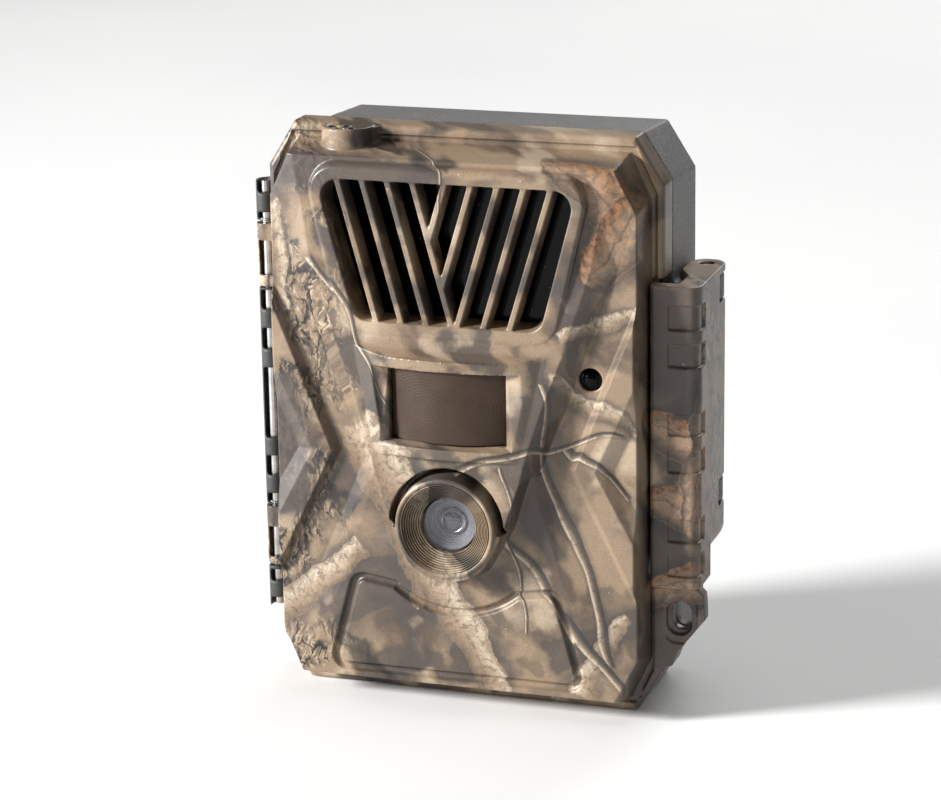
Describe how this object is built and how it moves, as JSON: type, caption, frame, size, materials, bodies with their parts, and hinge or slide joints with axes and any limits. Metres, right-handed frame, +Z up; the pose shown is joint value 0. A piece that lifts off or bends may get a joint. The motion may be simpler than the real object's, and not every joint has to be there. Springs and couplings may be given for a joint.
{
  "type": "trail camera",
  "caption": "Hinged outdoor camera with a camouflaged front cover, infrared grille, motion window, lens boss, side latch, padlock eye and rear strap bracket.",
  "frame": {"origin": "centre line of the rear housing's flat bottom face, 4.7 mm behind the parting plane", "axes": "+Z up along the camera's height, +X to the right seen from the front, +Y from the lens to the back"},
  "size_m": [0.1105, 0.0603, 0.136],
  "materials": {
    "camo_plastic": "moulded plastic with a printed camouflage film, satin",
    "grey_plastic": "fine grained dark grey plastic",
    "black_plastic": "fine textured black plastic",
    "seal_rubber": "soft black rubber",
    "infrared_window": "polished black infrared-pass plastic",
    "fresnel_plastic": "brown milky plastic with fine concentric grooves",
    "lens_glass": "clear coated glass",
    "steel": "plated steel",
    "brass": "turned brass",
    "circuit_board": "green solder mask",
    "cell_sleeve": "printed sleeve over a metal can",
    "screen_glass": "dark polished screen",
    "key_plastic": "moulded grey plastic",
    "card_plastic": "dark blue moulded plastic"
  },
  "bodies": {
    "housing": {"rear_housing": "grey_plastic", "housing_seal": "seal_rubber", "strap_bracket": "black_plastic", "bracket_screw_1": "steel", "bracket_screw_2": "steel", "tripod_insert": "brass", "dc_jack": "black_plastic", "battery_tray": "black_plastic", "cell_1": "cell_sleeve", "cell_2": "cell_sleeve", "cell_3": "cell_sleeve", "cell_4": "cell_sleeve", "cell_5": "cell_sleeve", "cell_6": "cell_sleeve", "cell_7": "cell_sleeve", "cell_8": "cell_sleeve", "spring_contact_1": "steel", "spring_contact_2": "steel", "spring_contact_3": "steel", "spring_contact_4": "steel", "contact_bridge_1": "steel", "contact_bridge_2": "steel", "hinge_pin": "steel", "latch_pin": "steel"},
    "cover": {"front_cover": "camo_plastic", "ir_window": "infrared_window", "pir_lens": "fresnel_plastic", "pir_retainer": "black_plastic", "lens_window": "lens_glass", "sensor_dome": "infrared_window", "ir_led_board": "circuit_board", "lens_barrel": "black_plastic", "lens_element": "lens_glass", "lens_holder": "black_plastic", "sensor_board": "circuit_board", "main_board": "circuit_board", "pir_sensor": "steel", "microphone": "steel", "inner_panel": "black_plastic", "panel_screw_1": "steel", "panel_screw_2": "steel", "panel_screw_3": "steel", "panel_screw_4": "steel", "lcd_screen": "screen_glass", "card_socket": "steel", "usb_port": "steel"},
    "latch": {"latch": "camo_plastic"},
    "power_plug": {"power_plug": "seal_rubber"},
    "power_pin_1": {"power_pin_1": "brass"},
    "power_pin_2": {"power_pin_2": "brass"},
    "key_up": {"key_up": "key_plastic"},
    "key_down": {"key_down": "key_plastic"},
    "key_left": {"key_left": "key_plastic"},
    "key_right": {"key_right": "key_plastic"},
    "key_ok": {"key_ok": "key_plastic"},
    "mode_switch": {"mode_switch": "key_plastic"},
    "memory_card": {"memory_card": "card_plastic"},
    "ir_cut_filter": {"ir_cut_filter": "lens_glass"}
  },
  "joints": [
    {"name": "cover_hinge", "type": "hinge", "parent": "housing", "child": "cover", "pos_m": [-0.0509, -0.0047, 0.068], "axis": [0, 0, -1], "range_deg": [0, 105]},
    {"name": "latch_hinge", "type": "hinge", "parent": "housing", "child": "latch", "pos_m": [0.052, 0.008, 0.068], "axis": [0, 0, 1], "range_deg": [0, 110]},
    {"name": "power_plug_pull", "type": "slide", "parent": "housing", "child": "power_plug", "axis": [0, 0, -1], "range_m": [0, 0.008]},
    {"name": "power_pin_1_spring", "type": "slide", "parent": "housing", "child": "power_pin_1", "axis": [0, 1, 0], "range_m": [0, 0.001], "stiffness_N_per_m": 600},
    {"name": "power_pin_2_spring", "type": "slide", "parent": "housing", "child": "power_pin_2", "axis": [0, 1, 0], "range_m": [0, 0.001], "stiffness_N_per_m": 600},
    {"name": "key_up_press", "type": "slide", "parent": "cover", "child": "key_up", "axis": [0, -1, 0], "range_m": [0, 0.0005], "stiffness_N_per_m": 1500},
    {"name": "key_down_press", "type": "slide", "parent": "cover", "child": "key_down", "axis": [0, -1, 0], "range_m": [0, 0.0005], "stiffness_N_per_m": 1500},
    {"name": "key_left_press", "type": "slide", "parent": "cover", "child": "key_left", "axis": [0, -1, 0], "range_m": [0, 0.0005], "stiffness_N_per_m": 1500},
    {"name": "key_right_press", "type": "slide", "parent": "cover", "child": "key_right", "axis": [0, -1, 0], "range_m": [0, 0.0005], "stiffness_N_per_m": 1500},
    {"name": "key_ok_press", "type": "slide", "parent": "cover", "child": "key_ok", "axis": [0, -1, 0], "range_m": [0, 0.0005], "stiffness_N_per_m": 1500},
    {"name": "mode_switch_slide", "type": "slide", "parent": "cover", "child": "mode_switch", "axis": [0, 0, 1], "range_m": [0, 0.006]},
    {"name": "memory_card_slide", "type": "slide", "parent": "cover", "child": "memory_card", "axis": [1, 0, 0], "range_m": [0, 0.024]},
    {"name": "ir_cut_filter_slide", "type": "slide", "parent": "cover", "child": "ir_cut_filter", "axis": [-1, 0, 0], "range_m": [0, 0.006]}
  ]
}
